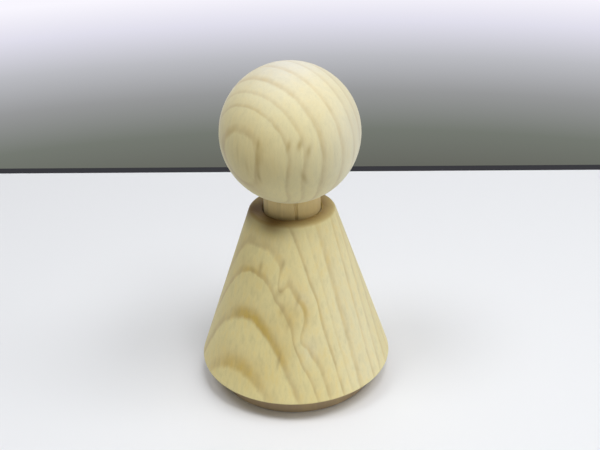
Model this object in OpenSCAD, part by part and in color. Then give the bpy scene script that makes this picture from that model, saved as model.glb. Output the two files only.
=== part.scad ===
// Turned peg doll: a ball head on a short dowel neck, a cone body and a round foot under the cone.
// The doll stands on its foot. Its axis is the Z axis, and the origin is the middle of the foot's underside.
// The front of the doll looks along -Y.

/* [Head] */
// Diameter of the ball
ball_d = 24; // [20:0.5:28]
// Depth of the dowel hole, from the lowest point of the ball
ball_hole_depth = 9; // [6:0.5:12]

/* [Neck] */
// Diameter of the dowel
dowel_d = 10; // [8:0.5:12]
// Height of the ball's lowest point over the shoulder
neck_rise = 2; // [1:0.25:4]
// Chamfer on both ends of the dowel
dowel_chamfer = 0.8; // [0.4:0.1:1.2]
// Width of the glue groove that runs down the dowel
groove_w = 0.7; // [0.4:0.05:1]
// Depth of the glue groove
groove_depth = 0.35; // [0.2:0.05:0.6]
// Turn of the glue groove from the front of the doll, in degrees
groove_turn = 8; // [-180:1:180]

/* [Body] */
// Height of the cone, from its underside to its flat top
cone_h = 30; // [24:0.5:40]
// Diameter of the cone at its underside, before the rim is rounded
rim_d = 35; // [32:0.5:42]
// Diameter of the cone at its top, before the shoulder is rounded
shoulder_d = 15; // [14.5:0.5:20]
// Radius of the rounded shoulder
shoulder_round = 0.8; // [0.4:0.1:1.2]
// Radius that takes the sharpness off the rim
rim_round = 0.3; // [0.1:0.05:0.6]
// Depth of the dowel hole in the top of the cone
cone_hole_depth = 12; // [8:0.5:16]

/* [Foot] */
// Diameter of the foot disc
foot_d = 29; // [24:0.5:31]
// Height of the foot disc below the cone
foot_h = 4; // [2.5:0.25:6]
// Radius of the edge that the doll stands on
foot_round = 0.4; // [0.2:0.1:0.8]
// Diameter of the spigot that centres the foot under the cone
spigot_d = 10; // [8:0.5:12]
// Height of the spigot
spigot_h = 3; // [2:0.5:5]
// Chamfer on the end of the spigot
spigot_chamfer = 0.5; // [0.2:0.1:0.8]

/* [Holes and glue] */
// Room for glue all round a dowel or spigot
glue_gap = 0.1; // [0.05:0.05:0.2]
// Countersink at the mouth of a hole in a flat face
mouth_ease = 0.3; // [0.1:0.1:0.5]
// Diameter of the mark that the drill's centre point leaves in the floor of a hole
point_d = 1.6; // [1:0.1:2.4]
// Depth of that mark
point_depth = 0.8; // [0.4:0.1:1.2]

/* [Hidden] */
$fn = 96;

// Every cut runs past its face by this much
overrun = 1;

ball_r = ball_d / 2;
dowel_r = dowel_d / 2;
rim_r = rim_d / 2;
shoulder_r = shoulder_d / 2;
foot_r = foot_d / 2;
spigot_r = spigot_d / 2;

// Heights above the surface that the doll stands on
shoulder_z = foot_h + cone_h;
ball_bottom_z = shoulder_z + neck_rise;
ball_centre_z = ball_bottom_z + ball_r;
dowel_bottom_z = shoulder_z - cone_hole_depth;
dowel_length = cone_hole_depth + neck_rise + ball_hole_depth;

// Slope of the cone's side away from the axis
flank_angle = atan2(rim_r - shoulder_r, cone_h);

// Natural and eased wood tones
pale_wood = "#dfd6ad";
shaded_wood = "#cfc294";
end_grain = "#c2b283";

// Outline of a round bar that stands on z = 0, with a chamfer at the bottom and at the top
module bar_outline(r, length, bottom_chamfer, top_chamfer) {
    polygon([
        [0, 0],
        [r - bottom_chamfer, 0],
        [r, bottom_chamfer],
        [r, length - top_chamfer],
        [r - top_chamfer, length],
        [0, length],
    ]);
}

// A drilled hole that goes down from z = 0, with a flat floor and the mark of the drill's centre point
module drilled_hole(d, depth) {
    translate([0, 0, -depth])
        cylinder(d = d, h = depth + overrun);
    translate([0, 0, -depth - point_depth])
        cylinder(d1 = 0, d2 = point_d, h = point_depth);
}

// The countersink of a hole whose mouth is at z = 0
module countersink(d) {
    translate([0, 0, -mouth_ease])
        cylinder(d1 = d, d2 = d + 2 * (mouth_ease + overrun), h = mouth_ease + overrun);
}

module head_ball() {
    color(pale_wood)
        difference() {
            translate([0, 0, ball_centre_z])
                sphere(d = ball_d);
            translate([0, 0, ball_bottom_z])
                mirror([0, 0, 1])
                    drilled_hole(dowel_d + 2 * glue_gap, ball_hole_depth);
        }
}

module neck_dowel() {
    color(shaded_wood)
        translate([0, 0, dowel_bottom_z])
            difference() {
                rotate_extrude()
                    bar_outline(dowel_r, dowel_length, dowel_chamfer, dowel_chamfer);
                rotate([0, 0, groove_turn])
                    translate([0, groove_depth - groove_w / 2 - dowel_r, -overrun])
                        cylinder(d = groove_w, h = dowel_length + 2 * overrun);
            }
}

// Half outline of the cone, standing on z = 0, with a true arc at the rim and at the shoulder
module cone_outline() {
    out = [cos(flank_angle), sin(flank_angle)];
    shoulder_centre = [
        shoulder_r + shoulder_round * (tan(flank_angle) - 1 / cos(flank_angle)),
        cone_h - shoulder_round,
    ];
    rim_centre = [
        rim_r - rim_round * (tan(flank_angle) + 1 / cos(flank_angle)),
        rim_round,
    ];
    polygon([
        [0, 0],
        [rim_centre.x, 0],
        rim_centre + rim_round * out,
        shoulder_centre + shoulder_round * out,
        [shoulder_centre.x, cone_h],
        [0, cone_h],
    ]);
    translate(shoulder_centre)
        circle(r = shoulder_round);
    translate(rim_centre)
        circle(r = rim_round);
}

module cone_body() {
    color(pale_wood)
        translate([0, 0, foot_h])
            difference() {
                rotate_extrude()
                    cone_outline();
                translate([0, 0, cone_h]) {
                    drilled_hole(dowel_d + 2 * glue_gap, cone_hole_depth);
                    countersink(dowel_d + 2 * glue_gap);
                }
                mirror([0, 0, 1]) {
                    drilled_hole(spigot_d + 2 * glue_gap, spigot_h + glue_gap);
                    countersink(spigot_d + 2 * glue_gap);
                }
            }
}

// Half outline of the disc that the doll stands on, with a true arc round its lower edge
module foot_outline() {
    polygon([
        [0, 0],
        [foot_r - foot_round, 0],
        [foot_r, foot_round],
        [foot_r, foot_h],
        [0, foot_h],
    ]);
    translate([foot_r - foot_round, foot_round])
        circle(r = foot_round);
}

module foot_disc() {
    color(end_grain) {
        rotate_extrude()
            foot_outline();
        translate([0, 0, foot_h])
            rotate_extrude()
                bar_outline(spigot_r, spigot_h, 0, spigot_chamfer);
    }
}

head_ball();
neck_dowel();
cone_body();
foot_disc();
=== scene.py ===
"""The looks of a small turned peg doll: bare pale wood on a plain white table, in soft light.

Lengths are in metres and angles in radians, unless a name says otherwise. The grain of each piece is worked
out in millimetres, because that is how growth rings are thought of.
"""

import logging
import math
from dataclasses import dataclass, field
from enum import Enum

import bmesh
import bpy
from mathutils import Matrix, Vector


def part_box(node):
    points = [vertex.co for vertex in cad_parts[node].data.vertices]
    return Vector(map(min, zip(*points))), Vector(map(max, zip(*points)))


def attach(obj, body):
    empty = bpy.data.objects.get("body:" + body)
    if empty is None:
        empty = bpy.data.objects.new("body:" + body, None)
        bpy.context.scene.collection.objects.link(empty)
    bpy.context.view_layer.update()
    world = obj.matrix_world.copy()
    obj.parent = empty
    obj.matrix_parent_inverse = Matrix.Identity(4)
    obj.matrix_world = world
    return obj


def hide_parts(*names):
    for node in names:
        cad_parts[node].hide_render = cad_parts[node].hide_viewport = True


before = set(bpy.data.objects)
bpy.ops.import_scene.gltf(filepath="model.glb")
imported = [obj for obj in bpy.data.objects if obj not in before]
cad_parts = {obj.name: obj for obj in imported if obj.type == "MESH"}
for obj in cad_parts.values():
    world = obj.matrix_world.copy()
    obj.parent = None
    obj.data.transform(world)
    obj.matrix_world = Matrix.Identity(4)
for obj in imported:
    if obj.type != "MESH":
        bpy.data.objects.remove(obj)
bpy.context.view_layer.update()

BODY = "root"
MM = 0.001
PER_MM = 1000.0
WEAR_NAME = "eased_edge"
STRAIGHT_DOWN = -math.pi / 2
STRAIGHT_UP = math.pi / 2

log = logging.getLogger("peg_doll")

Point = tuple[float, float]
Colour = tuple[float, float, float]
Triple = tuple[float, float, float]
Node = bpy.types.Node
Socket = bpy.types.NodeSocket
Tree = bpy.types.NodeTree


class Seat(Enum):
    """The four turned pieces, by the node that each one stands for."""

    HEAD = "head_ball"
    NECK = "neck_dowel"
    CONE = "cone_body"
    FOOT = "foot_disc"


# Helpers


def put(name: str, data: bpy.types.ID) -> bpy.types.Object:
    """Puts a new object in the scene.

    Args:
        name: Its name.
        data: Its mesh, light or camera.

    Returns:
        The new object.
    """
    made = bpy.data.objects.new(name, data)
    bpy.context.scene.collection.objects.link(made)
    return made


class Desk:
    """Places nodes in one tree and joins them."""

    def __init__(self, tree: Tree) -> None:
        """Starts work on a tree.

        Args:
            tree: The node tree that the nodes go into.
        """
        self.tree = tree

    def add(self, kind: str, **settings: object) -> Node:
        """Adds one node.

        Args:
            kind: Blender's name for the node type.
            settings: Properties of the node to set.

        Returns:
            The new node.
        """
        node = self.tree.nodes.new(kind)
        for name, value in settings.items():
            setattr(node, name, value)
        return node

    def feed(self, socket: Socket, value: object) -> None:
        """Joins a socket to another one, or gives it a plain value.

        Args:
            socket: The input socket to fill.
            value: An output socket, or a plain number, vector, name or material.
        """
        if isinstance(value, Socket):
            self.tree.links.new(value, socket)
        elif value is not None:
            socket.default_value = value

    def fill(self, node: Node, **inputs: object) -> Node:
        """Feeds several inputs of a node by name, with spaces written as underscores.

        Args:
            node: The node whose inputs are filled.
            inputs: Input names and what goes into them.

        Returns:
            The same node.
        """
        for name, value in inputs.items():
            self.feed(node.inputs[name.replace("_", " ")], value)
        return node

    def maths(self, operation: str, *values: object, clamp: bool = False) -> Socket:
        """Adds a Math node.

        Args:
            operation: Blender's name for the operation.
            values: What goes into its inputs, in their order.
            clamp: Whether the result is kept between 0 and 1.

        Returns:
            The result.
        """
        node = self.add("ShaderNodeMath", operation=operation, use_clamp=clamp)
        for socket, value in zip(node.inputs, values):
            self.feed(socket, value)
        return node.outputs[0]

    def vector_maths(self, operation: str, *values: object) -> Socket:
        """Adds a Vector Math node.

        Args:
            operation: Blender's name for the operation.
            values: What goes into its inputs, in their order.

        Returns:
            The vector, or the number where the operation gives one.
        """
        node = self.add("ShaderNodeVectorMath", operation=operation)
        for socket, value in zip(node.inputs, values):
            self.feed(socket, value)
        return node.outputs["Value" if operation == "DOT_PRODUCT" else "Vector"]

    def scaled(self, vector: object, factor: object) -> Socket:
        """Multiplies a vector or a colour by a number."""
        node = self.add("ShaderNodeVectorMath", operation="SCALE")
        return self.fill(node, Vector=vector, Scale=factor).outputs["Vector"]

    def axes(self, vector: Socket) -> bpy.types.NodeOutputs:
        """Splits a vector into its X, Y and Z."""
        return self.fill(self.add("ShaderNodeSeparateXYZ"), Vector=vector).outputs

    def group(self, tree: Tree, **inputs: object) -> Node:
        """Adds a node group and feeds its inputs by name."""
        return self.fill(self.add("ShaderNodeGroup", node_tree=tree), **inputs)

    def smooth_step(self, value: object, start: object, end: object) -> Socket:
        """Adds a Map Range node that rises smoothly from 0 to 1.

        Args:
            value: The value that is mapped.
            start: Where the rise begins.
            end: Where it is full.

        Returns:
            The mapped value.
        """
        node = self.add("ShaderNodeMapRange", interpolation_type="SMOOTHSTEP")
        self.fill(node, Value=value, From_Min=start, From_Max=end)
        return node.outputs["Result"]

    def noise(self, place: object, scale: float, detail: float = 2.0, roughness: float = 0.5) -> Socket:
        """Adds a Noise Texture.

        Args:
            place: Where the noise is read.
            scale: Waves of the coarsest noise in one unit of place.
            detail: Number of finer noises on top of it.
            roughness: Strength of each finer noise against the one before.

        Returns:
            The noise, from 0 to 1.
        """
        node = self.add("ShaderNodeTexNoise")
        self.fill(node, Vector=place, Scale=scale, Detail=detail, Roughness=roughness)
        return node.outputs[0]

    def swing(self, value: object, reach: object) -> Socket:
        """Turns a value from 0 to 1 into one from minus reach to plus reach."""
        centred = self.maths("MULTIPLY_ADD", value, 2.0, -1.0)
        return self.maths("MULTIPLY", centred, reach)

    def mix(self, factor: object, first: object, second: object) -> Socket:
        """Adds a colour Mix node and returns its colour.

        Args:
            factor: How much of the second colour shows, from 0 to 1.
            first: The lower colour.
            second: The upper colour.

        Returns:
            The mixed colour.
        """
        node = self.add("ShaderNodeMix", data_type="RGBA", clamp_factor=True)
        self.feed(node.inputs["Factor"], factor)
        colours = [s for s in node.inputs if s.type == "RGBA"]
        for socket, value in zip(colours, (first, second)):
            self.feed(socket, (*value, 1.0) if isinstance(value, tuple) else value)
        return next(s for s in node.outputs if s.type == "RGBA")


def new_group(
    name: str, inputs: dict[str, str], outputs: dict[str, str]
) -> tuple[Desk, dict[str, Socket], Node]:
    """Starts a shader node group with named sockets.

    Args:
        name: The group's name.
        inputs: Socket name to socket type, such as Float or Vector.
        outputs: The same for the outputs.

    Returns:
        A desk on the group's tree, its inputs by name, and its output node.
    """
    tree = bpy.data.node_groups.new(name, "ShaderNodeTree")
    for socket, kind in inputs.items():
        tree.interface.new_socket(name=socket, in_out="INPUT", socket_type=f"NodeSocket{kind}")
    for socket, kind in outputs.items():
        tree.interface.new_socket(name=socket, in_out="OUTPUT", socket_type=f"NodeSocket{kind}")
    desk = Desk(tree)
    source = desk.add("NodeGroupInput")
    return desk, {socket: source.outputs[socket] for socket in inputs}, desk.add("NodeGroupOutput")


# How the noises of all the wood are drawn out along the fibres, and their waves or pores in a millimetre

DRAWN_OUT = (1.0, 1.0, 0.3)
DRAWN_OUT_PATCHES = (1.0, 1.0, 0.35)
DRAWN_OUT_LINES = (0.5, 0.5, 0.3)
DRAWN_OUT_STREAKS = (1.0, 1.0, 0.05)
PORE_CELLS = (5.5, 5.5, 0.75)
WANDER_SCALE = 0.14
RIPPLE_SCALE = 0.8
LINE_PATCH_SCALE = 0.9
CLOUD_SCALE = 1.1
STREAK_SCALE = 2.6
PATCH_SCALE = 0.16

# Shares of one year of growth: where the dark line starts, is darkest, and gives way to pale wood

LINE_START = 0.58
LINE_PEAK = 0.88
FALL_START = 0.86

# The weakest part of a line, and how much stronger it gets where the noise is high

LINE_LEAST = 0.15
LINE_SWING = 1.7

# Distance from the middle of a pore to its edge and past it, and how deep it is against a fibre

PORE_EDGE = (0.1, 0.3)
PORE_DEPTH = 0.8


class WoodGroups:
    """Shader node groups that every wooden piece uses.

    Places are in millimetres, with X across the growth rings towards the bark, Y along a ring and Z along
    the fibres.
    """

    def __init__(self) -> None:
        """Builds the groups once."""
        self.layers = self._layers()
        self.spot = self._spot()
        self.ring = self._ring()
        self.fibre = self._fibre()
        self.facing = self._facing()

    @staticmethod
    def _layers() -> Tree:
        """Builds the group that says how far a place is across the layers of growth.

        Returns:
            The group's node tree.
        """
        numbers = ("Tilt", "Bow", "Wander", "Ripple")
        inputs = {"Place": "Vector"} | {name: "Float" for name in numbers}
        desk, given, out = new_group("Growth layers", inputs, {"Distance": "Float"})
        axes = desk.axes(given["Place"])
        tilted = desk.maths("MULTIPLY_ADD", axes["Z"], given["Tilt"], axes["X"])
        along = desk.maths("MULTIPLY", axes["Y"], axes["Y"])
        bowed = desk.maths("MULTIPLY_ADD", along, given["Bow"], tilted)
        drawn_out = desk.vector_maths("MULTIPLY", given["Place"], DRAWN_OUT)
        wander = desk.swing(desk.noise(drawn_out, WANDER_SCALE, detail=1.0), given["Wander"])
        ripple = desk.swing(desk.noise(drawn_out, RIPPLE_SCALE, detail=3.0, roughness=0.6), given["Ripple"])
        moved = desk.maths("ADD", bowed, wander)
        desk.feed(out.inputs["Distance"], desk.maths("ADD", moved, ripple))
        return desk.tree

    @staticmethod
    def _spot() -> Tree:
        """Builds the group for a soft spot, which is strongest in its middle and fades along each axis.

        Returns:
            The group's node tree.
        """
        inputs = {"Place": "Vector", "Centre": "Vector", "Reach": "Vector", "Amount": "Float"}
        desk, given, out = new_group("Soft spot", inputs, {"Amount": "Float"})
        offset = desk.vector_maths("SUBTRACT", given["Place"], given["Centre"])
        shares = desk.vector_maths("DIVIDE", offset, given["Reach"])
        squared = desk.vector_maths("DOT_PRODUCT", shares, shares)
        fall = desk.maths("EXPONENT", desk.maths("MULTIPLY", squared, -1.0))
        desk.feed(out.inputs["Amount"], desk.maths("MULTIPLY", fall, given["Amount"]))
        return desk.tree

    @staticmethod
    def _ring() -> Tree:
        """Builds the group that colours one year of growth: a slow shade, a thin dark line, then pale wood.

        Returns:
            The group's node tree.
        """
        inputs = {"Number": "Float", "Strength": "Float", "Place": "Vector"}
        outputs = {name: "Float" for name in ("Shade", "Line", "Tone")}
        desk, given, out = new_group("Growth ring", inputs, outputs)
        share = desk.maths("FRACT", given["Number"])
        fall = desk.maths("SUBTRACT", 1.0, desk.smooth_step(share, FALL_START, 1.0))
        lines = desk.vector_maths("MULTIPLY", given["Place"], DRAWN_OUT_LINES)
        patchy = desk.maths("MULTIPLY_ADD", desk.noise(lines, LINE_PATCH_SCALE), LINE_SWING, LINE_LEAST)
        strength = desk.maths("MULTIPLY", given["Strength"], patchy)
        for name, start in (("Shade", 0.0), ("Line", LINE_START)):
            height = desk.maths("MULTIPLY", desk.smooth_step(share, start, LINE_PEAK), fall)
            desk.feed(out.inputs[name], desk.maths("MULTIPLY", height, strength, clamp=True))
        year = desk.add("ShaderNodeTexWhiteNoise", noise_dimensions="1D")
        desk.feed(year.inputs["W"], desk.maths("FLOOR", given["Number"]))
        desk.feed(out.inputs["Tone"], year.outputs["Value"])
        return desk.tree

    @staticmethod
    def _fibre() -> Tree:
        """Builds the group for what is finer than a ring: clouds, fibre streaks and pores.

        Returns:
            The group's node tree.
        """
        outputs = {"Clouds": "Float", "Streaks": "Float", "Pores": "Float", "Relief": "Float"}
        desk, given, out = new_group("Wood fibre", {"Place": "Vector"}, outputs)
        drawn_out = desk.vector_maths("MULTIPLY", given["Place"], DRAWN_OUT)
        clouds = desk.noise(drawn_out, CLOUD_SCALE, detail=3.0)
        long_fibres = desk.vector_maths("MULTIPLY", given["Place"], DRAWN_OUT_STREAKS)
        streaks = desk.noise(long_fibres, STREAK_SCALE, detail=4.0, roughness=0.62)
        pore_place = desk.vector_maths("MULTIPLY", given["Place"], PORE_CELLS)
        pore_cells = desk.add("ShaderNodeTexVoronoi", feature="F1")
        desk.fill(pore_cells, Vector=pore_place, Scale=1.0, Randomness=1.0)
        solid = desk.smooth_step(pore_cells.outputs["Distance"], *PORE_EDGE)
        pores = desk.maths("SUBTRACT", 1.0, solid)
        desk.feed(out.inputs["Clouds"], clouds)
        desk.feed(out.inputs["Streaks"], streaks)
        desk.feed(out.inputs["Pores"], pores)
        desk.feed(out.inputs["Relief"], desk.maths("MULTIPLY_ADD", pores, -PORE_DEPTH, streaks))
        return desk.tree

    @staticmethod
    def _facing() -> Tree:
        """Builds the group that finds the faces where the fibres are cut across, which look up or down.

        Returns:
            The group's node tree.
        """
        inputs = {"Start": "Float", "Full": "Float"}
        desk, given, out = new_group("End grain and painted shade", inputs, {"Cut across": "Float"})
        axes = desk.axes(desk.add("ShaderNodeTexCoord").outputs["Normal"])
        upright = desk.maths("ABSOLUTE", axes["Z"])
        desk.feed(out.inputs["Cut across"], desk.smooth_step(upright, given["Start"], given["Full"]))
        return desk.tree


@dataclass(frozen=True)
class Spot:
    """A soft spot in a piece of wood. Lengths are in millimetres, in the grain's own axes."""

    centre: Triple
    reach: Triple
    amount: float


@dataclass(frozen=True)
class Tint:
    """A colour that the wood takes on in some soft spots."""

    colour: Colour
    spots: tuple[Spot, ...]


@dataclass(frozen=True)
class GrainMap:
    """Where the growth rings lie in one piece.

    Lengths are in millimetres from the centre of the grain, which is a place on the piece's axis. Rings are
    pairs of a distance across the layers, from the pith side to the bark side, and a strength. Bulges are
    spots that add to that distance, so the layers bend there as they do beside a healed twig.
    """

    rings: tuple[Point, ...]
    centre: Triple = (0.0, 0.0, 0.0)
    bark_turn: float = math.radians(42.0)
    tilt: float = 0.0
    bow: float = 0.0
    wander: float = 0.15
    ripple: float = 0.16
    bulges: tuple[Spot, ...] = ()

    @property
    def low(self) -> float:
        """The lowest distance that the ring curves cover."""
        return self.rings[0][0]

    @property
    def high(self) -> float:
        """The highest distance that the ring curves cover."""
        return self.rings[-1][0]


MARK_BROWN = (0.33, 0.23, 0.10)

# Where large warm patches and small clouds start and are full, on noise from 0 to 1

PATCH_EDGE = (0.42, 0.72)
CLOUD_EDGE = (0.45, 0.75)

# How amber an amber spot is on a dark line, on the shade before it and between rings

AMBER_ON_LINE = 0.85
AMBER_ON_SHADE = 0.25
AMBER_BETWEEN = 0.12

# The darkest year's brightness, and how much brighter the lightest year is

DARKEST_YEAR = 0.97
YEAR_SWING = 0.06


@dataclass(frozen=True)
class WoodFinish:
    """Bare sanded wood, as one piece shows it.

    Amber spots are where the late wood has a strong brown tint. Grounds change the wood under its rings, and
    tints lie over everything else. Some grounds and tints are painted light or painted shade.
    """

    name: str
    slot: str
    grain: GrainMap
    pale: Colour
    tan: Colour = (0.50, 0.37, 0.17)
    amber: Colour = (0.54, 0.385, 0.10)
    mark: Colour = MARK_BROWN
    # End grain colour, share and start; the cone raises them to lay painted shade on its shoulder under the
    # ball
    end_grain_and_shade_colour: Colour = (0.42, 0.29, 0.13)
    line_share: float = 0.50
    shade_share: float = 0.22
    amber_share: float = 0.10
    cloud_share: float = 0.10
    cloud_amber_share: float = 0.10
    streak_share: float = 0.07
    pore_share: float = 0.10
    end_grain_and_shade_share: float = 0.15
    end_grain_and_shade_start: float = 0.72
    eased_share: float = 0.35
    ambers: tuple[Spot, ...] = ()
    grounds: tuple[Tint, ...] = ()
    tints: tuple[Tint, ...] = ()
    roughness: float = 0.58
    specular: float = 0.25
    sheen: float = 0.30
    sheen_roughness: float = 0.40
    relief: float = 0.000010
    ring_relief: float = 0.000012
    line_smoothing: float = 0.08
    streak_roughness: float = 0.10


class WoodShader(Desk):
    """The material of one wooden piece, built from its finish."""

    def __init__(self, finish: WoodFinish, groups: WoodGroups) -> None:
        """Builds the material.

        Args:
            finish: How the piece's wood looks.
            groups: The shader node groups that all the wood shares.
        """
        self.finish, self.grain, self.groups = finish, finish.grain, groups
        self.material = bpy.data.materials.new(finish.name)
        self.material.use_nodes = True
        super().__init__(self.material.node_tree)
        self.place = self._place()
        self.ring = self._ring()
        self.fibre = self.group(groups.fibre, Place=self.place)
        self.fill(
            self.tree.nodes["Principled BSDF"],
            Base_Color=self._colour(),
            Roughness=self._roughness(),
            Normal=self._normal(),
            Specular_IOR_Level=finish.specular,
            Sheen_Weight=finish.sheen,
            Sheen_Roughness=finish.sheen_roughness,
        )

    def _place(self) -> Socket:
        """Gives a place on the piece in millimetres, turned so that X points across the rings to the bark.

        Returns:
            The place in the grain's axes.
        """
        scaled = self.scaled(self.add("ShaderNodeTexCoord").outputs["Object"], PER_MM)
        centred = self.vector_maths("SUBTRACT", scaled, self.grain.centre)
        turned = self.add("ShaderNodeMapping", vector_type="POINT")
        self.fill(turned, Vector=centred, Rotation=(0.0, 0.0, math.pi / 2 + self.grain.bark_turn))
        return turned.outputs["Vector"]

    def _spots(self, spots: tuple[Spot, ...], start: Socket | float = 0.0) -> Socket | float:
        """Adds a row of soft spots to a starting value.

        Args:
            spots: The spots to add.
            start: The value that they are added to.

        Returns:
            The sum.
        """
        for spot in spots:
            soft = self.group(self.groups.spot, Place=self.place, Centre=spot.centre, Reach=spot.reach)
            self.fill(soft, Amount=spot.amount)
            start = self.maths("ADD", start, soft.outputs["Amount"])
        return start

    def _ring(self) -> Node:
        """Counts the rings along the distance across the layers.

        Returns:
            The node that colours the rings.
        """
        grain = self.grain
        layers = self.group(self.groups.layers, Place=self.place, Tilt=grain.tilt, Bow=grain.bow)
        self.fill(layers, Wander=grain.wander, Ripple=grain.ripple)
        distance = self._spots(grain.bulges, layers.outputs["Distance"])
        mapped = self.add("ShaderNodeMapRange", clamp=True)
        share = self.fill(mapped, Value=distance, From_Min=grain.low, From_Max=grain.high).outputs["Result"]
        last = len(grain.rings) - 1
        count = [(at, index / last) for index, (at, _) in enumerate(grain.rings)]
        number = self.maths("MULTIPLY", self._curve(share, count), float(last))
        strength = self._curve(share, list(grain.rings))
        return self.group(self.groups.ring, Number=number, Strength=strength, Place=self.place)

    def _curve(self, share: Socket, points: list[Point]) -> Socket:
        """Adds a curve of straight stretches.

        Args:
            share: How far a place is from the lowest ring to the highest one, from 0 to 1.
            points: Distances across the layers in millimetres, each with the curve's value there.

        Returns:
            The curve's value.
        """
        node = self.add("ShaderNodeFloatCurve")
        curve = node.mapping.curves[0]
        span = self.grain.high - self.grain.low
        places = [((at - self.grain.low) / span, value) for at, value in points]
        for index, (x, y) in enumerate(places):
            inside = 0 < index < len(places) - 1
            point = curve.points.new(x, y) if inside else curve.points[0 if index == 0 else -1]
            point.location = (x, y)
            point.handle_type = "VECTOR"
        node.mapping.update()
        return self.fill(node, Value=share).outputs["Value"]

    def _warmth(self) -> Socket:
        """Finds how amber the wood is, from large patches, small clouds and the amber spots.

        Returns:
            The share of amber.
        """
        finish = self.finish
        drawn_out = self.vector_maths("MULTIPLY", self.place, DRAWN_OUT_PATCHES)
        patches = self.smooth_step(self.noise(drawn_out, PATCH_SCALE, detail=3.0), *PATCH_EDGE)
        clouds = self.smooth_step(self.fibre.outputs["Clouds"], *CLOUD_EDGE)
        warm = self.maths("MULTIPLY", patches, finish.amber_share)
        warm = self.maths("ADD", warm, self.maths("MULTIPLY", clouds, finish.cloud_amber_share))
        if not finish.ambers:
            return warm
        tint = self.maths("MULTIPLY_ADD", self.ring.outputs["Line"], AMBER_ON_LINE, AMBER_BETWEEN)
        tint = self.maths("MULTIPLY_ADD", self.ring.outputs["Shade"], AMBER_ON_SHADE, tint)
        return self.maths("MULTIPLY_ADD", self._spots(finish.ambers), tint, warm, clamp=True)

    def _colour(self) -> Socket:
        """Lays the colours over each other, from the pale wood to the marks, the end grain and the tints; on
        the cone the end grain and some tints are painted shade, and some grounds are painted light.

        Returns:
            The finished colour.
        """
        finish = self.finish
        ring, fibre = self.ring.outputs, self.fibre.outputs
        colour = self._tinted(finish.pale, finish.grounds)
        colour = self._over(colour, ring["Shade"], finish.shade_share, finish.tan)
        colour = self._over(colour, ring["Line"], finish.line_share, finish.tan)
        colour = self.mix(self._warmth(), colour, finish.amber)
        colour = self.scaled(colour, self.maths("MULTIPLY_ADD", ring["Tone"], YEAR_SWING, DARKEST_YEAR))
        for value, share in ((fibre["Clouds"], finish.cloud_share), (fibre["Streaks"], finish.streak_share)):
            colour = self.scaled(colour, self.maths("ADD", self.swing(value, share), 1.0))
        colour = self._over(colour, fibre["Pores"], finish.pore_share, finish.mark)
        # Darker end grain, which on the cone is mostly painted shade on the shoulder under the ball
        ends_and_shade = self.group(self.groups.facing, Start=finish.end_grain_and_shade_start, Full=1.0)
        colour = self._over(colour, ends_and_shade.outputs[0], finish.end_grain_and_shade_share, finish.end_grain_and_shade_colour)
        eased = self.add("ShaderNodeAttribute", attribute_name=WEAR_NAME)
        colour = self._over(colour, eased.outputs["Fac"], finish.eased_share, finish.pale)
        return self._tinted(colour, finish.tints)

    def _over(self, colour: Socket | Colour, where: Socket, share: float, upper: Colour) -> Socket:
        """Lays a share of an upper colour over a colour, where a value from 0 to 1 is high."""
        return self.mix(self.maths("MULTIPLY", where, share), colour, upper)

    def _tinted(self, colour: Socket | Colour, tints: tuple[Tint, ...]) -> Socket | Colour:
        """Lays a row of tints over a colour, in their order.

        Args:
            colour: The colour under them.
            tints: The tints to lay.

        Returns:
            The tinted colour.
        """
        for tint in tints:
            colour = self.mix(self._spots(tint.spots), colour, tint.colour)
        return colour

    def _roughness(self) -> Socket:
        """Makes late wood a little smoother than the open wood between the lines.

        Returns:
            The roughness.
        """
        finish = self.finish
        streak = self.swing(self.fibre.outputs["Streaks"], finish.streak_roughness)
        line = self.ring.outputs["Line"]
        smoother = self.maths("MULTIPLY_ADD", line, -finish.line_smoothing, finish.roughness)
        return self.maths("ADD", smoother, streak, clamp=True)

    def _normal(self) -> Socket:
        """Raises the hard late wood a little and sinks the pores and the fibre lines.

        Returns:
            The changed normal.
        """
        fine, broad = self.add("ShaderNodeBump"), self.add("ShaderNodeBump")
        self.fill(fine, Strength=1.0, Distance=self.finish.relief, Height=self.fibre.outputs["Relief"])
        self.fill(broad, Strength=1.0, Distance=self.finish.ring_relief, Height=self.ring.outputs["Line"])
        return self.fill(broad, Normal=fine.outputs["Normal"]).outputs["Normal"]


# The lathe


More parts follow.
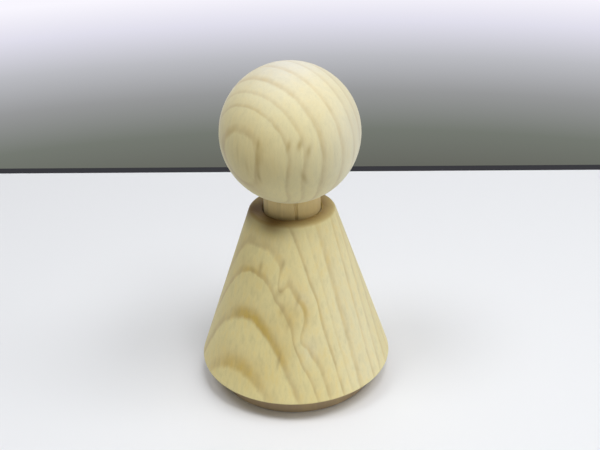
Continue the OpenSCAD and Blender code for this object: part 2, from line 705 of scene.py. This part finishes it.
@dataclass
class Outline:
    """Half of a turned piece's outline, as places of radius and height from the axis round to the axis again.

    Each place has a wear from 0 on a plain face to 1 on an edge that sanding has eased.
    """

    places: list[Point] = field(default_factory=list)
    wear: list[float] = field(default_factory=list)

    def to(self, radius: float, height: float, wear: float = 0.0, steps: int = 1) -> "Outline":
        """Draws a straight stretch to a place.

        Args:
            radius: Distance of its end from the axis.
            height: Height of its end.
            wear: Wear at its end.
            steps: Number of parts that the stretch is cut into.

        Returns:
            The outline itself.
        """
        start = self.places[-1] if self.places else (radius, height)
        start_wear = self.wear[-1] if self.wear else wear
        for step in range(1, steps + 1):
            share = step / steps
            across = start[0] + (radius - start[0]) * share
            up = start[1] + (height - start[1]) * share
            self.places.append((across, up))
            self.wear.append(start_wear + (wear - start_wear) * share)
        return self

    def arc(
        self, centre: Point, radius: float, start: float, end: float, steps: int, wear: float = 0.0
    ) -> "Outline":
        """Draws a round stretch.

        Args:
            centre: Radius and height of its centre.
            radius: Radius of the stretch itself.
            start: Angle of its first place, from straight outwards.
            end: Angle of its last place.
            steps: Number of parts that the stretch is cut into.
            wear: Wear all along it.

        Returns:
            The outline itself.
        """
        for step in range(steps + 1):
            angle = start + (end - start) * step / steps
            self.places.append((centre[0] + radius * math.cos(angle), centre[1] + radius * math.sin(angle)))
            self.wear.append(wear)
        return self

    def mesh(self, name: str) -> bpy.types.Mesh:
        """Gives the outline as a mesh of bare points that carry their wear.

        Args:
            name: The mesh's name.

        Returns:
            The new mesh.
        """
        mesh = bpy.data.meshes.new(name)
        mesh.from_pydata([(max(radius, 0.0), 0.0, height) for radius, height in self.places], [], [])
        wear = mesh.attributes.new(WEAR_NAME, "FLOAT", "POINT")
        wear.data.foreach_set("value", self.wear)
        return mesh


@dataclass(frozen=True)
class Groove:
    """A shallow round groove that runs down a turned piece."""

    width: float
    depth: float
    turn: float

    @property
    def starts(self) -> float:
        """The radius past which the groove is cut, so that the end faces stay flat near the axis."""
        return 2.0 * self.width


# Places closer than the weld are made one, edges flatter than the crease are smooth, and half a groove is
# never less than its least width

WELD = 0.001 * MM
CREASE = math.radians(28.0)
LEAST_GROOVE = 0.001 * MM


class Lathe(Desk):
    """A Geometry Nodes tree that turns an outline round the Z axis, and can cut one groove down its side."""

    def __init__(self) -> None:
        """Builds the tree once."""
        super().__init__(bpy.data.node_groups.new("Lathe", "GeometryNodeTree"))
        self.sockets = self._sockets()
        self.given = self.add("NodeGroupInput").outputs
        self._build()

    def _sockets(self) -> dict[str, str]:
        """Makes the named inputs.

        Returns:
            Each input's identifier by its name.
        """
        face = self.tree.interface
        face.new_socket(name="Geometry", in_out="OUTPUT", socket_type="NodeSocketGeometry")
        face.new_socket(name="Outline", in_out="INPUT", socket_type="NodeSocketGeometry")
        lengths = ("Groove depth", "Groove width", "Groove turn", "Groove from")
        inputs = {"Steps": "Int"} | {name: "Float" for name in lengths} | {"Wood": "Material"}
        return {
            name: face.new_socket(name=name, in_out="INPUT", socket_type=f"NodeSocket{kind}").identifier
            for name, kind in inputs.items()
        }

    def _build(self) -> None:
        """Lays a grid of steps by outline places and wraps it round the axis."""
        count = self.add("GeometryNodeAttributeDomainSize", component="MESH")
        places = self.fill(count, Geometry=self.given["Outline"]).outputs["Point Count"]
        grid = self.add("GeometryNodeMeshGrid")
        facets = self.maths("ADD", self.given["Steps"], 1.0)
        self.fill(grid, Size_X=1.0, Size_Y=1.0, Vertices_X=facets, Vertices_Y=places)
        position = self.add("GeometryNodeInputPosition").outputs[0]
        where = self.axes(position)
        around = self.maths("MULTIPLY", self.maths("ADD", where["X"], 0.5), math.tau)
        last = self.maths("SUBTRACT", places, 1.0)
        index = self.maths("ROUND", self.maths("MULTIPLY", self.maths("ADD", where["Y"], 0.5), last))
        spot = self.axes(self._sample(position, index, "FLOAT_VECTOR"))
        radius = self._grooved(spot["X"], around)
        turned = self.add("ShaderNodeCombineXYZ")
        self.fill(
            turned,
            X=self.maths("MULTIPLY", radius, self.maths("COSINE", around)),
            Y=self.maths("MULTIPLY", radius, self.maths("SINE", around)),
            Z=spot["Z"],
        )
        named = self.fill(self.add("GeometryNodeInputNamedAttribute", data_type="FLOAT"), Name=WEAR_NAME)
        wear = self._sample(named.outputs[0], index, "FLOAT")
        stored = self.add("GeometryNodeStoreNamedAttribute", data_type="FLOAT", domain="POINT")
        self.fill(stored, Geometry=grid.outputs["Mesh"], Name=WEAR_NAME, Value=wear)
        wrapped = self.add("GeometryNodeSetPosition")
        self.fill(wrapped, Geometry=stored.outputs[0], Position=turned.outputs[0])
        closed = self.add("GeometryNodeMergeByDistance")
        self._finish(self.fill(closed, Geometry=wrapped.outputs[0], Distance=WELD).outputs[0])

    def _sample(self, value: Socket, index: Socket, kind: str) -> Socket:
        """Reads a value of the outline at one of its places.

        Args:
            value: What is read.
            index: The number of the place.
            kind: Blender's name for the type of value.

        Returns:
            The value there.
        """
        sample = self.add("GeometryNodeSampleIndex", data_type=kind, domain="POINT")
        return self.fill(sample, Geometry=self.given["Outline"], Value=value, Index=index).outputs[0]

    def _grooved(self, radius: Socket, around: Socket) -> Socket:
        """Sinks the radius in the groove, on places that lie further out than where the groove starts.

        Args:
            radius: The radius without the groove.
            around: The angle round the axis.

        Returns:
            The radius with the groove.
        """
        off = self.maths("SUBTRACT", around, self.given["Groove turn"])
        wrapped = self.maths("WRAP", off, math.pi, -math.pi)
        across = self.maths("MULTIPLY", wrapped, radius)
        half = self.maths("MAXIMUM", self.maths("MULTIPLY", self.given["Groove width"], 0.5), LEAST_GROOVE)
        share = self.maths("DIVIDE", across, half)
        round_floor = self.maths("SUBTRACT", 1.0, self.maths("MULTIPLY", share, share), clamp=True)
        depth = self.maths("MULTIPLY", self.maths("SQRT", round_floor), self.given["Groove depth"])
        cut = self.maths("MULTIPLY", depth, self.maths("GREATER_THAN", radius, self.given["Groove from"]))
        return self.maths("SUBTRACT", radius, cut)

    def _finish(self, solid: Socket) -> None:
        """Shades the round faces smooth, keeps the crisp corners and gives the piece its wood.

        Args:
            solid: The turned solid.
        """
        angle = self.add("GeometryNodeInputMeshEdgeAngle").outputs["Unsigned Angle"]
        soft = self.add("FunctionNodeCompare", data_type="FLOAT", operation="LESS_THAN")
        self.feed(soft.inputs[0], angle)
        self.feed(soft.inputs[1], CREASE)
        faces = self.add("GeometryNodeSetShadeSmooth", domain="FACE")
        self.fill(faces, Geometry=solid, Shade_Smooth=True)
        edges = self.add("GeometryNodeSetShadeSmooth", domain="EDGE")
        self.fill(edges, Geometry=faces.outputs[0], Shade_Smooth=soft.outputs[0])
        real = self.fill(self.add("GeometryNodeRealizeInstances"), Geometry=edges.outputs[0])
        dressed = self.add("GeometryNodeSetMaterial")
        self.fill(dressed, Geometry=real.outputs[0], Material=self.given["Wood"])
        self.fill(self.add("NodeGroupOutput"), Geometry=dressed.outputs[0])

    def turn(
        self, name: str, outline: Outline, wood: bpy.types.Material, steps: int, groove: Groove | None = None
    ) -> bpy.types.Object:
        """Turns an outline into a finished solid.

        Args:
            name: The piece's name.
            outline: Half outline of the piece, in place along the Z axis.
            wood: The piece's material.
            steps: Number of flat facets round the axis.
            groove: A groove down the side, if the piece has one.

        Returns:
            An object with a plain closed mesh.
        """
        blank = put(f"{name}_outline", outline.mesh(f"{name}_outline"))
        modifier = blank.modifiers.new("Lathe", "NODES")
        modifier.node_group = self.tree
        settings = {"Steps": steps, "Wood": wood}
        if groove:
            settings |= {"Groove depth": groove.depth, "Groove width": groove.width}
            settings |= {"Groove turn": groove.turn, "Groove from": groove.starts}
        for setting, value in settings.items():
            modifier[self.sockets[setting]] = value
        bpy.context.view_layer.update()
        depsgraph = bpy.context.evaluated_depsgraph_get()
        mesh = bpy.data.meshes.new_from_object(blank.evaluated_get(depsgraph), depsgraph=depsgraph)
        bpy.data.objects.remove(blank)
        return self._piece(name, mesh)

    @staticmethod
    def _piece(name: str, mesh: bpy.types.Mesh) -> bpy.types.Object:
        """Makes the faces of a turned mesh point outwards and puts it in the scene.

        Args:
            name: The piece's name.
            mesh: The turned mesh.

        Returns:
            The new object.
        """
        mesh.name = name
        solid = bmesh.new()
        solid.from_mesh(mesh)
        bmesh.ops.recalc_face_normals(solid, faces=solid.faces)
        solid.to_mesh(mesh)
        solid.free()
        return put(name, mesh)


# The pieces


@dataclass
class TurnedPiece:
    """What the four pieces share: a node to stand for, a finish and a size that comes from the frame."""

    seat: Seat
    finish: WoodFinish
    steps: int = 240
    radius: float = 0.0
    bottom: float = 0.0
    top: float = 0.0

    def __post_init__(self) -> None:
        """Reads the piece's size from the frame."""
        low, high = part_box(self.seat.value)
        self.radius = (high.x - low.x) / 2
        self.bottom, self.top = low.z, high.z

    def outline(self) -> Outline:
        """Gives the piece's half outline."""
        raise NotImplementedError

    def groove(self) -> Groove | None:
        """Gives the groove down the piece's side, if it has one."""
        return None

    def make(self, lathe: Lathe, groups: WoodGroups) -> bpy.types.Object:
        """Turns the piece, dresses it and seats it.

        Args:
            lathe: The lathe that turns it.
            groups: The node groups of its wood.

        Returns:
            The finished piece.
        """
        wood = WoodShader(self.finish, groups).material
        piece = lathe.turn(f"{self.seat.value}_turned", self.outline(), wood, self.steps, self.groove())
        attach(piece, BODY)
        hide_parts(self.seat.value)
        return piece


@dataclass
class HeadBall(TurnedPiece):
    """The plain ball, with the blind hole that the dowel is glued into."""

    hole_radius: float = 5.1 * MM
    hole_depth: float = 9.0 * MM
    arc_steps: int = 110

    def outline(self) -> Outline:
        """Draws the hole's floor and wall, then the ball round to its crown.

        Returns:
            The half outline.
        """
        centre = self.top - self.radius
        floor = centre - self.radius + self.hole_depth
        mouth = -math.acos(self.hole_radius / self.radius)
        drawn = Outline().to(0.0, floor).to(self.hole_radius, floor)
        return drawn.arc((0.0, centre), self.radius, mouth, STRAIGHT_UP, self.arc_steps)


@dataclass
class NeckDowel(TurnedPiece):
    """The short smooth dowel between the ball and the shoulder, with its glue groove."""

    chamfer: float = 0.8 * MM
    groove_width: float = 0.7 * MM
    groove_depth: float = 0.35 * MM
    groove_turn: float = math.radians(8.0)
    wall_steps: int = 24

    def outline(self) -> Outline:
        """Draws a bar with a chamfer at each end.

        Returns:
            The half outline.
        """
        inner = self.radius - self.chamfer
        drawn = Outline().to(0.0, self.bottom).to(inner, self.bottom)
        drawn.to(self.radius, self.bottom + self.chamfer)
        drawn.to(self.radius, self.top - self.chamfer, steps=self.wall_steps)
        return drawn.to(inner, self.top).to(0.0, self.top)

    def groove(self) -> Groove:
        """Gives the glue groove, a little to the right of the front."""
        front = math.tau * 3 / 4
        return Groove(self.groove_width, self.groove_depth, front + self.groove_turn)


@dataclass
class ConeBody(TurnedPiece):
    """The turned cone with its rounded shoulder, its rim and the holes for the dowel and the spigot.

    Side stops are places on the sloping side: a share of its length, the wear there, and the number of parts
    up to it.
    """

    rim_radius: float = 17.5 * MM
    shoulder_radius: float = 7.5 * MM
    shoulder_round: float = 0.8 * MM
    rim_round: float = 0.3 * MM
    hole_radius: float = 5.1 * MM
    hole_depth: float = 12.0 * MM
    spigot_depth: float = 3.1 * MM
    mouth_ease: float = 0.3 * MM
    rim_steps: int = 10
    shoulder_steps: int = 14
    side_stops: tuple[tuple[float, float, int], ...] = (
        (0.02, 0.35, 1), (0.05, 0.0, 1), (0.95, 0.0, 6), (0.98, 0.35, 1),
    )

    def outline(self) -> Outline:
        """Draws the lower hole, the underside, the rim, the side, the shoulder and the upper hole.

        Returns:
            The half outline.
        """
        lean = math.atan2(self.rim_radius - self.shoulder_radius, self.top - self.bottom)
        inset = self.rim_round * (math.tan(lean) + 1 / math.cos(lean))
        rim = (self.rim_radius - inset, self.bottom + self.rim_round)
        outset = self.shoulder_round * (math.tan(lean) - 1 / math.cos(lean))
        shoulder = (self.shoulder_radius + outset, self.top - self.shoulder_round)
        eased = self.hole_radius + self.mouth_ease
        lower_floor = self.bottom + self.spigot_depth
        upper_floor = self.top - self.hole_depth
        drawn = Outline().to(0.0, lower_floor).to(self.hole_radius, lower_floor)
        drawn.to(self.hole_radius, self.bottom + self.mouth_ease).to(eased, self.bottom)
        drawn.arc(rim, self.rim_round, STRAIGHT_DOWN, lean, self.rim_steps, wear=1.0)
        foot_of_side = drawn.places[-1]
        head_of_side = (
            shoulder[0] + self.shoulder_round * math.cos(lean),
            shoulder[1] + self.shoulder_round * math.sin(lean),
        )
        for share, wear, steps in self.side_stops:
            place = [a + (b - a) * share for a, b in zip(foot_of_side, head_of_side)]
            drawn.to(*place, wear=wear, steps=steps)
        drawn.arc(shoulder, self.shoulder_round, lean, STRAIGHT_UP, self.shoulder_steps, wear=1.0)
        drawn.to(eased + self.mouth_ease, self.top).to(eased, self.top)
        drawn.to(self.hole_radius, self.top - self.mouth_ease)
        return drawn.to(self.hole_radius, upper_floor).to(0.0, upper_floor)


@dataclass
class FootDisc(TurnedPiece):
    """The round foot under the cone, with the spigot that centres it."""

    height: float = 4.0 * MM
    edge_round: float = 0.4 * MM
    spigot_radius: float = 5.0 * MM
    spigot_chamfer: float = 0.5 * MM
    edge_steps: int = 10
    wall_steps: int = 4

    def outline(self) -> Outline:
        """Draws the underside, the eased lower edge, the wall, the top face and the spigot.

        Returns:
            The half outline.
        """
        edge = (self.radius - self.edge_round, self.bottom + self.edge_round)
        face = self.bottom + self.height
        drawn = Outline().to(0.0, self.bottom)
        drawn.arc(edge, self.edge_round, STRAIGHT_DOWN, 0.0, self.edge_steps, wear=1.0)
        drawn.to(self.radius, face, steps=self.wall_steps).to(self.spigot_radius, face)
        drawn.to(self.spigot_radius, self.top - self.spigot_chamfer)
        return drawn.to(self.spigot_radius - self.spigot_chamfer, self.top).to(0.0, self.top)


# The finishes

STRAW = (0.745, 0.652, 0.318)
YELLOW_WOOD = (0.62, 0.475, 0.17)
HONEY_WOOD = (0.80, 0.66, 0.30)
OLIVE_BROWN = (0.40, 0.27, 0.08)
# Pale wood in the grain, and painted light on the cone's right side
PALE_WOOD_AND_PAINTED_LIGHT = (0.73, 0.672, 0.43)
# Painted highlight: a whitish wood colour laid on the top of the ball and on its right side
PAINTED_HIGHLIGHT_WOOD = (0.70, 0.675, 0.58)
# Painted light: a paler wood colour laid on the lower right of the ball
PAINTED_LIGHT_WOOD = (0.86, 0.82, 0.58)
# Painted shade: a dark brown laid where the ball shades the cone's flat shoulder and the dowel's foot
PAINTED_SHADE_BROWN = (0.13, 0.07, 0.010)

HEAD_GRAIN = GrainMap(
    rings=(
        (-17.0, 0.4), (-14.6, 0.5), (-12.0, 0.4), (-9.4, 0.45), (-6.9, 0.4), (-4.3, 0.5), (-1.7, 0.4),
        (1.7, 0.6), (5.2, 0.85), (7.5, 0.45), (9.25, 0.75), (11.45, 0.9), (12.8, 0.4), (15.0, 0.3),
    ),
    centre=(0.0, 0.0, 48.0),
    tilt=-0.061,
    bow=0.004,
    bulges=(
        Spot((11.0, 4.2, -2.5), (4.0, 2.0, 4.0), -0.8),
        Spot((9.0, 5.0, -11.0), (7.0, 7.0, 3.8), 3.2),
        Spot((7.5, 9.0, -2.5), (5.0, 3.5, 3.5), -0.55),
    ),
)

CONE_GRAIN = GrainMap(
    rings=(
        (-20.0, 0.4), (-17.2, 0.4), (-14.4, 0.5), (-11.6, 0.4), (-8.9, 0.5), (-6.2, 0.4), (-3.6, 0.4),
        (-1.1, 0.65), (2.7, 0.65), (4.4, 0.2), (6.15, 1.15), (8.75, 0.75), (10.5, 1.05), (13.1, 0.95),
        (16.3, 0.8), (19.0, 0.5),
    ),
    centre=(0.0, 0.0, 19.0),
    bark_turn=math.radians(41.4),
    bulges=(
        Spot((8.4, 9.3, 1.2), (4.0, 1.6, 2.4), 0.55),
        Spot((10.0, 10.1, -3.7), (5.0, 1.1, 2.0), -1.35),
        Spot((9.6, 11.3, -6.9), (5.0, 1.3, 2.4), -0.6),
        Spot((9.4, 5.35, 5.6), (5.0, 0.7, 2.2), -1.9),
        Spot((13.0, -2.0, -2.0), (4.0, 3.0, 4.0), -0.2),
        Spot((8.5, 0.0, 12.5), (3.0, 2.5, 2.0), -0.6),
        Spot((9.0, 0.0, 8.3), (3.0, 3.0, 2.0), -0.38),
    ),
)

DOWEL_GRAIN = GrainMap(
    rings=((-6.0, 0.3), (-3.6, 0.4), (-1.2, 0.3), (1.4, 0.4), (3.9, 0.35), (6.0, 0.3)),
    bark_turn=math.radians(-20.0),
)

FOOT_GRAIN = GrainMap(
    rings=(
        (-18.0, 0.4), (-14.6, 0.5), (-11.4, 0.4), (-8.4, 0.5), (-5.0, 0.4), (-2.2, 0.5),
        (1.0, 0.4), (4.1, 0.5), (7.3, 0.4), (10.6, 0.5), (14.0, 0.4), (18.0, 0.4),
    ),
    bark_turn=math.radians(15.0),
)

HEAD_WOOD = WoodFinish(
    "Sanded_wood_of_the_ball", "head_wood", HEAD_GRAIN, (0.775, 0.695, 0.385),
    line_share=0.45,
    shade_share=0.16,
    end_grain_and_shade_share=0.0,
    ambers=(
        Spot((11.1, 4.4, 0.0), (2.5, 1.5, 3.6), 0.35),
        Spot((10.6, 4.4, 3.5), (2.5, 1.6, 1.6), 0.35),
        Spot((11.6, -2.3, 1.7), (2.5, 1.5, 3.0), 0.35),
    ),
    grounds=(
        Tint(HONEY_WOOD, (Spot((11.5, 2.5, -0.5), (6.0, 6.5, 5.0), 0.55),)),
        # The next two grounds are painted highlight on the ball's top and painted light on its right side
        Tint(PAINTED_HIGHLIGHT_WOOD, (
            Spot((0.0, 0.0, 12.0), (8.4, 8.4, 9.2), 0.95),
            Spot((-3.0, 12.0, 1.0), (6.5, 6.5, 8.0), 0.60),
        )),
        Tint(PAINTED_LIGHT_WOOD, (Spot((-2.0, 11.0, -4.0), (4.0, 3.5, 4.5), 0.75),)),
    ),
    tints=(
        Tint(OLIVE_BROWN, (
            Spot((11.1, -0.5, -5.0), (3.0, 3.0, 2.0), 0.14),
            Spot((11.3, 3.4, 2.6), (2.0, 0.24, 0.9), 0.35),
            Spot((11.1, 3.3, -0.5), (2.0, 0.24, 3.2), 0.27),
            Spot((11.8, -0.6, 0.5), (2.0, 0.3, 1.6), 0.16),
            Spot((11.8, 1.2, -1.6), (2.0, 0.3, 1.4), 0.20),
            Spot((11.1, 3.1, -3.3), (2.0, 0.24, 0.9), 0.40),
            Spot((8.7, 7.7, 2.6), (2.0, 0.28, 0.9), 0.45),
            Spot((7.4, 8.9, 2.7), (2.0, 0.28, 0.9), 0.60),
            Spot((6.4, 9.9, 1.6), (2.0, 0.22, 1.0), 0.45),
            Spot((7.1, 9.2, -3.0), (2.0, 0.28, 1.2), 0.42),
        )),
    ),
)

DOWEL_WOOD = WoodFinish(
    "Smooth_wood_of_the_dowel", "dowel_wood", DOWEL_GRAIN, (0.84, 0.66, 0.31),
    # Painted shade at the dowel's foot, where the ball shades the shoulder
    tints=(Tint(PAINTED_SHADE_BROWN, (Spot((4.7, -2.2, 34.0), (6.0, 5.0, 0.55), 0.50),)),),
)

CONE_WOOD = WoodFinish(
    "Sanded_wood_of_the_cone", "body_wood", CONE_GRAIN, STRAW,
    # End grain darkened far past plain end grain and over the shoulder's round: painted shade under the ball
    end_grain_and_shade_colour=(0.34, 0.21, 0.06),
    end_grain_and_shade_share=0.80,
    end_grain_and_shade_start=0.4,
    cloud_share=0.20,
    cloud_amber_share=0.24,
    specular=0.15,
    sheen=0.12,
    ambers=(
        Spot((12.9, 0.8, -1.4), (2.0, 4.0, 2.2), 0.75),
        Spot((12.8, 4.5, -3.5), (2.0, 2.5, 2.5), 0.55),
        Spot((12.8, 7.5, -6.5), (2.0, 1.8, 2.2), 0.55),
        Spot((8.5, 8.7, 1.4), (2.5, 1.5, 3.0), 0.65),
        Spot((10.3, -0.8, 6.7), (2.5, 3.0, 1.6), 0.35),
        Spot((16.0, 0.5, -10.6), (2.0, 4.5, 2.6), 0.80),
    ),
    grounds=(
        Tint(PALE_WOOD_AND_PAINTED_LIGHT, (
            # Painted light: this wide spot pales the cone's whole right side; the two small ones after it are
            # pale grain
            Spot((-1.0, 15.0, -4.0), (9.0, 12.0, 40.0), 0.90),
            Spot((7.9, 8.5, 2.6), (2.5, 1.2, 1.8), 0.50),
            Spot((9.0, 11.2, -5.6), (2.5, 1.4, 2.5), 0.50),
        )),
        Tint(YELLOW_WOOD, (
            Spot((9.5, 7.5, 0.6), (4.0, 2.2, 3.0), 0.40),
            Spot((15.5, 1.0, -10.0), (3.0, 5.0, 3.0), 0.25),
            Spot((12.0, 8.0, -5.5), (3.0, 2.0, 2.5), 0.20),
        )),
    ),
    tints=(
        Tint(HONEY_WOOD, (
            Spot((10.9, 7.3, -2.1), (2.0, 0.7, 1.3), 0.35),
            Spot((9.2, 6.0, 4.5), (2.0, 0.6, 1.2), 0.30),
        )),
        Tint(MARK_BROWN, (
            Spot((9.8, 1.2, 7.6), (2.0, 0.35, 1.2), 0.45),
            Spot((10.3, -0.2, 6.5), (2.0, 0.35, 0.5), 0.35),
            Spot((8.2, 4.9, 8.7), (2.0, 0.22, 0.8), 0.40),
            Spot((8.3, 8.1, 2.7), (2.0, 0.25, 1.2), 0.35),
            Spot((12.9, 7.5, -7.4), (2.0, 0.25, 1.4), 0.45),
            Spot((9.6, 5.5, 4.2), (2.0, 0.5, 0.7), 0.45),
            Spot((10.3, 4.9, 3.3), (2.0, 0.40, 1.0), 0.30),
            Spot((10.3, 6.3, 1.2), (2.0, 0.40, 1.0), 0.32),
            Spot((10.4, 7.6, -1.2), (2.0, 0.35, 1.1), 0.28),
        )),
        # Painted shade on the cone's flat shoulder under the ball
        Tint(PAINTED_SHADE_BROWN, (
            Spot((6.0, 1.5, 15.0), (3.5, 3.0, 2.1), 0.95),
            Spot((4.6, -4.6, 15.0), (3.5, 3.5, 2.2), 1.0),
        )),
    ),
)

# The foot's wood is far darker than the other pieces: painted shade for its wall under the rim's overhang
FOOT_WOOD_WITH_PAINTED_SHADE = WoodFinish("Sanded_wood_of_the_foot", "foot_wood", FOOT_GRAIN, (0.37, 0.275, 0.165))


# The table, the light and the camera


TABLE_SPECULAR = 0.2


def plain_material(name: str, colour: Colour, roughness: float) -> bpy.types.Material:
    """Builds a plain material for the table.

    Args:
        name: The material's name.
        colour: Its colour.
        roughness: Its roughness.

    Returns:
        The new material.
    """
    material = bpy.data.materials.new(name)
    material.use_nodes = True
    shader = material.node_tree.nodes["Principled BSDF"]
    shader.inputs["Base Color"].default_value = (*colour, 1.0)
    shader.inputs["Roughness"].default_value = roughness
    shader.inputs["Specular IOR Level"].default_value = TABLE_SPECULAR
    return material


@dataclass
class Table:
    """A plain white table top that the doll stands on, with a dark strip along its back edge: painted shadow
    of the gap behind the table.
    """

    half: float = 90.0 * MM
    back: float = 86.2 * MM
    shadow_gap_width: float = 3.2 * MM
    turn: float = math.radians(-2.4)
    white: Colour = (0.80, 0.81, 0.835)
    # Colour of the strip of painted shadow
    dark: Colour = (0.022, 0.022, 0.026)
    white_roughness: float = 0.7
    dark_roughness: float = 0.9

    def make(self) -> None:
        """Makes the table top and its strip of painted shadow."""
        white = plain_material("White_table", self.white, self.white_roughness)
        dark = plain_material("Painted_gap_shadow", self.dark, self.dark_roughness)
        self._sheet("table_top", -self.half, self.back, white)
        # Painted shadow: a dark strip where the gap behind the table falls in shade
        self._sheet("table_gap_shadow", self.back, self.back + self.shadow_gap_width, dark)

    def _sheet(self, name: str, front: float, back: float, material: bpy.types.Material) -> None:
        """Makes one flat sheet on the table's level between two depths.

        Args:
            name: The sheet's name.
            front: Depth of its front edge.
            back: Depth of its back edge.
            material: Its material.
        """
        mesh = bpy.data.meshes.new(name)
        corners = ((-self.half, front), (self.half, front), (self.half, back), (-self.half, back))
        swing = Matrix.Rotation(self.turn, 3, "Z")
        mesh.from_pydata([swing @ Vector((x, y, 0.0)) for x, y in corners], [], [(0, 1, 2, 3)])
        mesh.materials.append(material)
        sheet = put(name, mesh)


@dataclass
class SoftLight:
    """One round soft light that looks at the doll.

    Turn is measured from the front towards the right, height is above the table, and width is the angle that
    the light spans as the doll sees it.
    """

    name: str
    turn: float
    height: float
    width: float
    power: float
    distance: float = 0.6

    def make(self) -> None:
        """Makes the light."""
        data = bpy.data.lights.new(self.name, "AREA")
        data.shape, data.energy = "DISK", self.power
        data.size = 2.0 * self.distance * math.tan(self.width / 2.0)
        light = put(self.name, data)
        out = Vector((
            math.sin(self.turn) * math.cos(self.height),
            -math.cos(self.turn) * math.cos(self.height),
            math.sin(self.height),
        ))
        light.location = out * self.distance
        light.rotation_euler = out.to_track_quat("Z", "Y").to_euler()


# Height on the backdrop, from 0 at its lowest tone to 1 at its lightest, and the colour there

BACKDROP = (
    (0.0, (0.135, 0.14, 0.12)),
    (0.2, (0.175, 0.19, 0.165)),
    (0.42, (0.31, 0.315, 0.32)),
    (0.62, (0.50, 0.505, 0.54)),
    (0.82, (0.75, 0.74, 0.84)),
    (1.0, (0.95, 0.93, 1.0)),
)


@dataclass
class Room:
    """The plain grey backdrop that the camera sees past the table, and the even light of the room."""

    even_colour: Colour = (0.96, 0.98, 1.0)
    even_light: float = 0.18
    low: float = -0.42
    high: float = -0.26

    def make(self) -> None:
        """Makes the world. The backdrop grows lighter from the table's edge upwards."""
        world = bpy.data.worlds.new("Room")
        bpy.context.scene.world = world
        world.use_nodes = True
        desk = Desk(world.node_tree)
        world.node_tree.nodes.clear()
        height = desk.axes(desk.add("ShaderNodeTexCoord").outputs["Generated"])["Z"]
        share = desk.add("ShaderNodeMapRange", clamp=True)
        desk.fill(share, Value=height, From_Min=self.low, From_Max=self.high)
        ramp = desk.fill(desk.add("ShaderNodeValToRGB"), Fac=share.outputs["Result"])
        for index, (at, colour) in enumerate(BACKDROP):
            stop = ramp.color_ramp.elements[index] if index < 2 else ramp.color_ramp.elements.new(at)
            stop.position, stop.color = at, (*colour, 1.0)
        seen = desk.add("ShaderNodeBackground")
        desk.fill(seen, Color=ramp.outputs["Color"], Strength=1.0)
        even = desk.add("ShaderNodeBackground")
        desk.fill(even, Color=(*self.even_colour, 1.0), Strength=self.even_light)
        chosen = desk.add("ShaderNodeMixShader")
        path = desk.add("ShaderNodeLightPath").outputs
        desk.feed(chosen.inputs[0], desk.maths("MAXIMUM", path["Is Camera Ray"], path["Is Glossy Ray"]))
        desk.feed(chosen.inputs[1], even.outputs[0])
        desk.feed(chosen.inputs[2], seen.outputs[0])
        desk.feed(desk.add("ShaderNodeOutputWorld").inputs["Surface"], chosen.outputs[0])


@dataclass
class Viewpoint:
    """The camera where the photograph was taken from."""

    side: float = 1.30 * MM
    back: float = 155.0 * MM
    height: float = 113.7 * MM
    dip: float = math.radians(28.30)
    roll: float = math.radians(1.39)
    focal_pixels: float = 996.0
    picture_pixels: float = 600.0
    sensor_mm: float = 36.0
    near: float = 0.01
    far: float = 10.0

    def make(self) -> None:
        """Makes the camera and makes it the scene's own."""
        data = bpy.data.cameras.new("camera")
        data.sensor_width = self.sensor_mm
        data.lens = self.focal_pixels * self.sensor_mm / self.picture_pixels
        data.clip_start, data.clip_end = self.near, self.far
        camera = put("camera", data)
        look = Vector((0.0, math.cos(self.dip), -math.sin(self.dip)))
        up = Vector((0.0, math.sin(self.dip), math.cos(self.dip)))
        right = look.cross(up)
        rolled_right = right * math.cos(self.roll) - up * math.sin(self.roll)
        rolled_up = right * math.sin(self.roll) + up * math.cos(self.roll)
        turned = Matrix((rolled_right, rolled_up, -look)).transposed()
        camera.matrix_world = Matrix.Translation((self.side, -self.back, self.height)) @ turned.to_4x4()
        bpy.context.scene.camera = camera


# Name, turn, height and width of each light in degrees, and its power in watts

LAMPS = (
    ("key", 20.0, 73.5, 14.0, 0.88),
    ("overhead", 0.0, 90.0, 60.0, 0.33),
    ("front_right", 45.0, 60.0, 20.0, 0.67),
    ("right", 80.0, 60.0, 20.0, 0.64),
    ("low_right", 85.0, 15.0, 25.0, 0.63),
    ("left", -70.0, 66.0, 20.0, 0.80),
    ("low_front", 0.0, 10.0, 30.0, 0.23),
    ("behind", 180.0, 20.0, 30.0, 0.22),
)


def studio() -> None:
    """Sets up the camera, the table, the room and the lights."""
    Viewpoint().make()
    Table().make()
    Room().make()
    for name, turn, height, width, power in LAMPS:
        SoftLight(name, math.radians(turn), math.radians(height), math.radians(width), power).make()
    bpy.context.scene.view_settings.view_transform = "Standard"


def main() -> None:
    """Builds the studio and the four pieces, and reports each piece."""
    logging.basicConfig(level=logging.INFO, format="%(name)s: %(message)s")
    studio()
    groups, lathe = WoodGroups(), Lathe()
    pieces = (
        HeadBall(Seat.HEAD, HEAD_WOOD),
        NeckDowel(Seat.NECK, DOWEL_WOOD, steps=720),
        ConeBody(Seat.CONE, CONE_WOOD),
        FootDisc(Seat.FOOT, FOOT_WOOD_WITH_PAINTED_SHADE),
    )
    for piece in pieces:
        made = piece.make(lathe, groups)
        log.info("%s: %d faces, %s", made.name, len(made.data.polygons), piece.finish.name)


if __name__ == "__main__":
    main()
